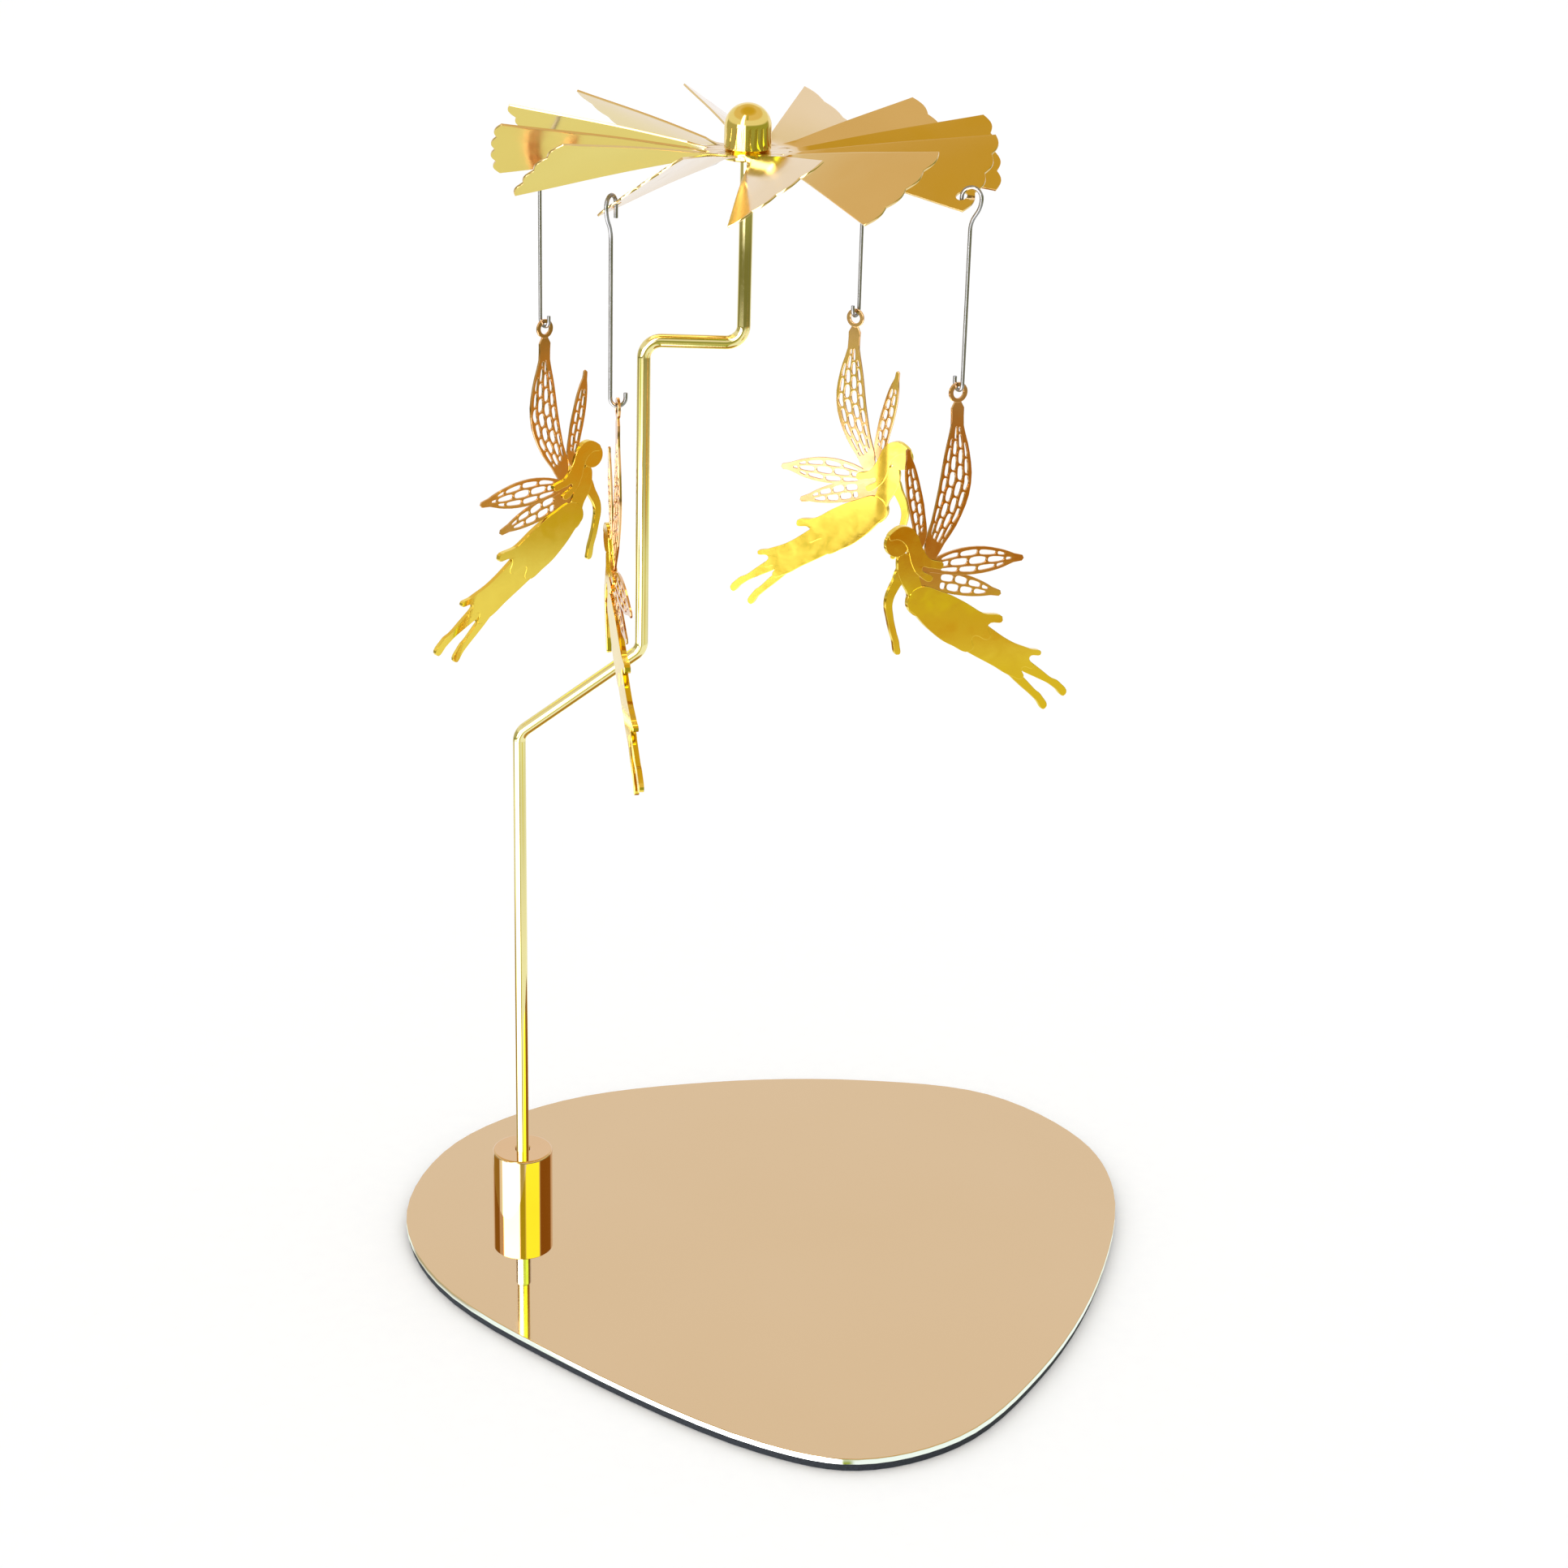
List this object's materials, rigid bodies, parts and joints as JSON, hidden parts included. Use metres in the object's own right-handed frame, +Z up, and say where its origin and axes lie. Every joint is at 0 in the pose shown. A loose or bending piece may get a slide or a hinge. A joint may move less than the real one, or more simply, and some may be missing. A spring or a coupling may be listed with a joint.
{
  "type": "rotating candle holder",
  "caption": "Free-standing rotating candle holder: a bent gold rod on a mirror-polished pebble base carries a bladed fan wheel with fairy pendants, turned by a tea light's warm air.",
  "frame": {"origin": "on the table under the middle of the base's outline box", "axes": "+Z up along the stand, +X to the right of the post, -Y towards the front"},
  "size_m": [0.1498, 0.1492, 0.2346],
  "materials": {
    "mirror_gold": "mirror-polished gold sheet",
    "dark_foam": "matt dark foam backing",
    "polished_gold": "polished gold plating",
    "sheet_gold": "bright gold plated sheet",
    "pendant_gold": "bright gold plated cut sheet",
    "hook_wire": "drawn steel wire",
    "plain_steel": "plain turned steel"
  },
  "bodies": {
    "stand": {"base_plate": "mirror_gold", "base_pad": "dark_foam", "post": "polished_gold", "post_screw": "plain_steel", "stand_rod": "polished_gold"},
    "wheel": {"fan_wheel": "sheet_gold", "dome_cap": "polished_gold", "pivot_cup": "plain_steel", "hub_collar": "polished_gold"},
    "hanger_back_right": {"hook_back_right": "hook_wire"},
    "hanger_back_left": {"hook_back_left": "hook_wire"},
    "hanger_front_left": {"hook_front_left": "hook_wire"},
    "hanger_front_right": {"hook_front_right": "hook_wire"},
    "pendant_back_right": {"fairy_back_right": "pendant_gold"},
    "pendant_back_left": {"fairy_back_left": "pendant_gold"},
    "pendant_front_left": {"fairy_front_left": "pendant_gold"},
    "pendant_front_right": {"fairy_front_right": "pendant_gold"}
  },
  "joints": [
    {"name": "wheel_spin", "type": "hinge", "parent": "stand", "child": "wheel", "pos_m": [-0.008, -0.0028, 0.2262], "axis": [0, 0, 1], "continuous": true},
    {"name": "swing_back_right", "type": "hinge", "parent": "wheel", "child": "hanger_back_right", "pos_m": [0.01351, 0.0359, 0.22276], "axis": [0.9225, -0.3859, 0], "range_deg": [-4, 20]},
    {"name": "swing_back_left", "type": "hinge", "parent": "wheel", "child": "hanger_back_left", "pos_m": [-0.0467, 0.01871, 0.22276], "axis": [0.3859, 0.9225, 0], "range_deg": [-4, 20]},
    {"name": "swing_front_left", "type": "hinge", "parent": "wheel", "child": "hanger_front_left", "pos_m": [-0.02951, -0.04149, 0.22276], "axis": [-0.9225, 0.3859, 0], "range_deg": [-4, 20]},
    {"name": "swing_front_right", "type": "hinge", "parent": "wheel", "child": "hanger_front_right", "pos_m": [0.0307, -0.02431, 0.22276], "axis": [-0.3859, -0.9225, 0], "range_deg": [-4, 20]},
    {"name": "twist_back_right", "type": "hinge", "parent": "hanger_back_right", "child": "pendant_back_right", "pos_m": [0.0129, 0.03475, 0.18876], "axis": [0, 0, 1], "range_deg": [-40, 40]},
    {"name": "twist_back_left", "type": "hinge", "parent": "hanger_back_left", "child": "pendant_back_left", "pos_m": [-0.04582, 0.01775, 0.18876], "axis": [0, 0, 1], "range_deg": [-40, 40]},
    {"name": "twist_front_left", "type": "hinge", "parent": "hanger_front_left", "child": "pendant_front_left", "pos_m": [-0.02824, -0.04122, 0.18876], "axis": [0, 0, 1], "range_deg": [-40, 40]},
    {"name": "twist_front_right", "type": "hinge", "parent": "hanger_front_right", "child": "pendant_front_right", "pos_m": [0.03009, -0.02317, 0.18876], "axis": [0, 0, 1], "range_deg": [-40, 40]}
  ]
}
